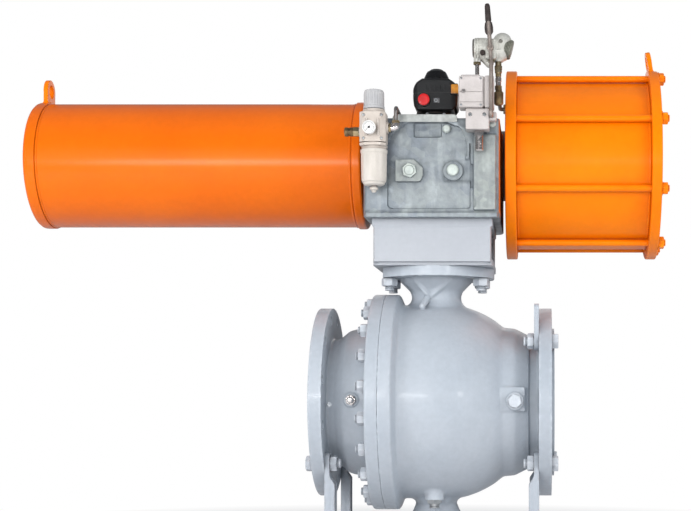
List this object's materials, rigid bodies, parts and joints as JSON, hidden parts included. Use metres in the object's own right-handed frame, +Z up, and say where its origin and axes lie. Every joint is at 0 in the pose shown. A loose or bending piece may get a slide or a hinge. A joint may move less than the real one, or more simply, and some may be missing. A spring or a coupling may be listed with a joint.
{
  "type": "pneumatic actuated valve",
  "caption": "Flanged trunnion ball valve turned by a spring-return scotch-yoke pneumatic actuator, with switch box, filter regulator, solenoid valve and legs.",
  "frame": {"origin": "centre of the ball, where the flow bore axis crosses the stem axis", "axes": "+X along the flow bore towards the pneumatic cylinder side, +Y away from the accessories towards the piston axis, +Z up the stem"},
  "size_m": [1.648, 0.627, 1.3862],
  "materials": {
    "grey_paint": "semi-gloss enamel over a casting",
    "orange_paint": "gloss enamel",
    "spool_paint": "satin enamel",
    "leg_paint": "satin enamel",
    "polished_steel": "polished",
    "machined_steel": "machined",
    "zinc_steel": "zinc plated",
    "zinc_housing": "spangled zinc over a casting",
    "cast_iron": "as cast",
    "piston_alloy": "turned",
    "bronze": "bearing bronze",
    "rubber": "matt",
    "seat_polymer": "moulded",
    "spring_steel": "oiled",
    "black_plastic": "moulded",
    "dome_plastic": "smoked",
    "red_plastic": "moulded",
    "dark_steel": "satin",
    "beige_alloy": "satin",
    "knob_plastic": "moulded",
    "bowl_alloy": "satin",
    "gauge_white": "gloss",
    "valve_alloy": "cast",
    "stainless": "drawn tube",
    "brass": "plated"
  },
  "bodies": {
    "frame": {"valve_body": "grey_paint", "closure": "grey_paint", "bushes": "bronze", "o_rings": "rubber", "gland_plate": "machined_steel", "lower_trunnion": "machined_steel", "trunnion_cap": "grey_paint", "seat_ring_left": "machined_steel", "seat_ring_right": "machined_steel", "seat_inserts": "seat_polymer", "closure_studs": "machined_steel", "closure_nuts": "grey_paint", "grease_fitting": "zinc_steel", "vent_plug": "grey_paint", "drain_plug": "zinc_steel", "bracket": "spool_paint", "bracket_bolts": "grey_paint", "support_legs": "leg_paint", "leg_bolts": "zinc_steel", "cap_screws": "zinc_steel", "yoke_housing": "zinc_housing", "housing_cover": "zinc_housing", "guide_bar": "polished_steel", "cylinder_barrel": "orange_paint", "inner_plate": "orange_paint", "outer_plate": "orange_paint", "tie_rods": "orange_paint", "tie_rod_nuts": "orange_paint", "spring_can": "orange_paint", "can_end_cap": "orange_paint", "can_flange": "orange_paint", "spring": "spring_steel", "stop_bolts": "zinc_steel", "lifting_eyes": "orange_paint", "switch_box": "black_plastic", "beacon_dome": "dome_plastic", "switch_bracket": "dark_steel", "filter_regulator": "beige_alloy", "filter_bowl": "bowl_alloy", "gauge": "gauge_white", "solenoid_valve": "beige_alloy", "manual_valve": "valve_alloy", "air_tubing": "stainless", "tube_fittings": "brass"},
    "rotor": {"ball": "polished_steel", "stem": "machined_steel", "stem_coupling": "machined_steel", "yoke": "cast_iron", "beacon": "red_plastic"},
    "piston_train": {"guide_block": "machined_steel", "yoke_pin": "polished_steel", "piston_rod": "polished_steel", "piston": "piston_alloy", "piston_seal": "rubber", "spring_plate": "machined_steel"},
    "sliders": {"slider_blocks": "bronze"},
    "knob": {"regulator_knob": "knob_plastic"},
    "needle": {"gauge_needle": "black_plastic"},
    "button": {"override_button": "red_plastic"},
    "lever": {"hand_lever": "black_plastic"}
  },
  "joints": [
    {"name": "stem_turn", "type": "hinge", "parent": "frame", "child": "rotor", "pos_m": [0, 0, 0], "axis": [0, 0, -1], "range_deg": [0, 90]},
    {"name": "piston_stroke", "type": "slide", "parent": "frame", "child": "piston_train", "axis": [1, 0, 0], "range_m": [0, 0.184], "deforming": ["spring"]},
    {"name": "slider_turn", "type": "hinge", "parent": "piston_train", "child": "sliders", "pos_m": [-0.092, 0.092, 0.627], "axis": [0, 0, -1], "range_deg": [0, 90]},
    {"name": "knob_turn", "type": "hinge", "parent": "frame", "child": "knob", "pos_m": [-0.1376, -0.225, 0.74], "axis": [0, 0, 1], "range_deg": [-180, 180]},
    {"name": "needle_swing", "type": "hinge", "parent": "frame", "child": "needle", "pos_m": [-0.1436, -0.285, 0.664], "axis": [0, 1, 0], "range_deg": [0, 270]},
    {"name": "override_push", "type": "slide", "parent": "frame", "child": "button", "axis": [0, 1, 0], "range_m": [0, 0.0025]},
    {"name": "lever_swing", "type": "hinge", "parent": "frame", "child": "lever", "pos_m": [0.147, -0.23, 0.868], "axis": [0, 1, 0], "range_deg": [-30, 30]}
  ],
  "couplings": [
    {"joint": "piston_stroke", "follows": "stem_turn", "m_per_rad": 0.11713},
    {"joint": "slider_turn", "follows": "stem_turn", "ratio": 1}
  ]
}
